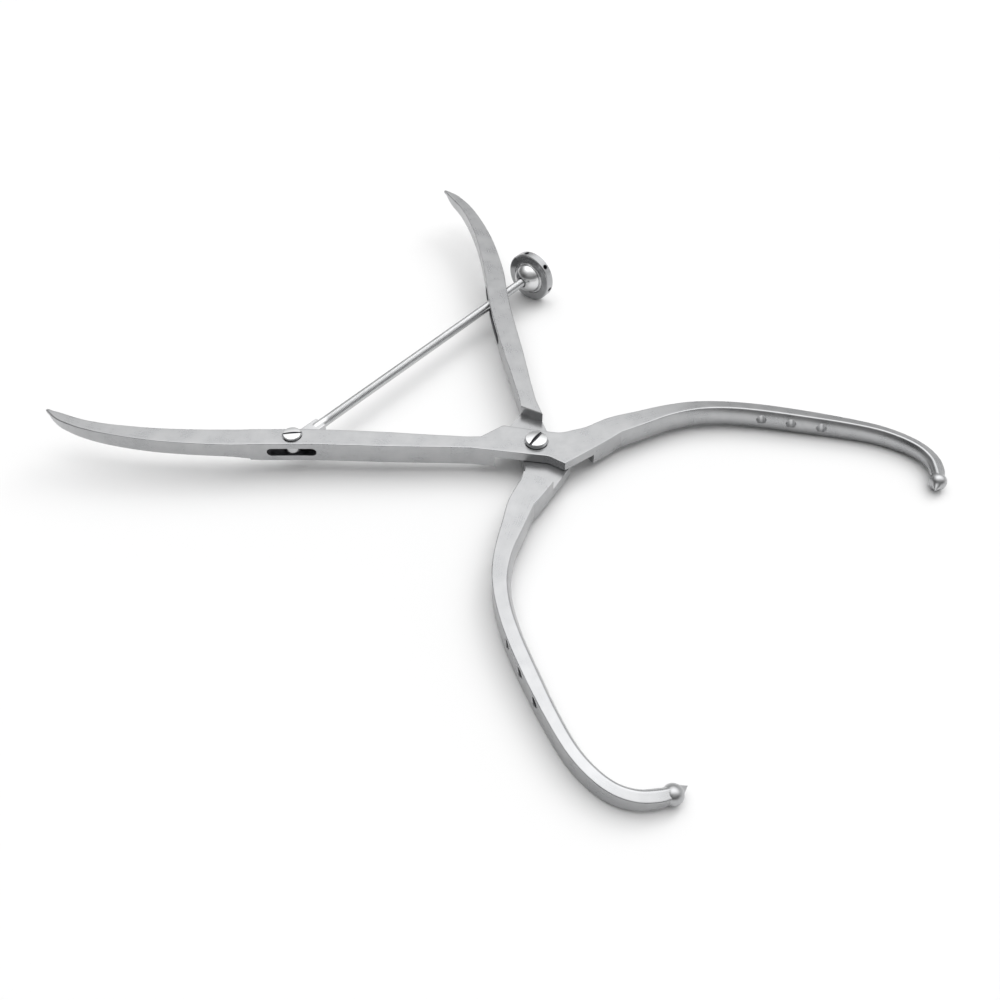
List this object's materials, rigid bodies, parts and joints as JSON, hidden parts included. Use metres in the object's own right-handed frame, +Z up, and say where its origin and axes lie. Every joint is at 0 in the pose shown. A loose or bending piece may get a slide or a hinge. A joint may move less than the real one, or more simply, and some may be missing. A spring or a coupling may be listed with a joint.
{
  "type": "bone reduction forceps",
  "caption": "Large bone reduction forceps with curved jaws, pointed ball tips, a screwed lap joint and a threaded spindle lock with a round knob, lying open.",
  "frame": {"origin": "On the joint's axis, at the joint's flat underside.", "axes": "X runs along the open instrument's middle line, from the handles towards the jaws. Y points to the side where the jaw of arm_a and the handle of arm_b lie. Z is up, along the joint's axis, out of the pivot screw's head."},
  "size_m": [0.3315, 0.269, 0.0262],
  "materials": {
    "satin_steel": "satin",
    "polished_steel": "gloss"
  },
  "bodies": {
    "arm_a": {"arm_a": "satin_steel", "spindle_screw": "polished_steel"},
    "arm_b": {"arm_b": "satin_steel", "pivot_screw": "polished_steel"},
    "spindle": {"spindle": "satin_steel", "end_stop": "satin_steel"},
    "ball_seat": {"ball_seat": "polished_steel"},
    "knob": {"knob": "satin_steel"}
  },
  "joints": [
    {"name": "jaw_hinge", "type": "hinge", "parent": "arm_a", "child": "arm_b", "pos_m": [0, 0, 0.005], "axis": [0, 0, 1], "range_deg": [0, 65]},
    {"name": "spindle_swing", "type": "hinge", "parent": "arm_a", "child": "spindle", "pos_m": [-0.08473, -0.06931, 0.005], "axis": [0, 0, 1], "range_deg": [0, 32.6]},
    {"name": "nut_slide", "type": "slide", "parent": "spindle", "child": "ball_seat", "axis": [0.0384, -0.9993, 0], "range_m": [0, 0.1317]},
    {"name": "knob_turn", "type": "hinge", "parent": "ball_seat", "child": "knob", "pos_m": [-0.0913, 0.10146, 0.005], "axis": [0.0384, -0.9993, 0], "continuous": true}
  ],
  "couplings": [
    {"joint": "spindle_swing", "follows": "jaw_hinge", "ratio": 0.5},
    {"joint": "nut_slide", "follows": "jaw_hinge", "m_per_rad": 0.116},
    {"joint": "knob_turn", "follows": "jaw_hinge", "ratio": 911.06}
  ]
}
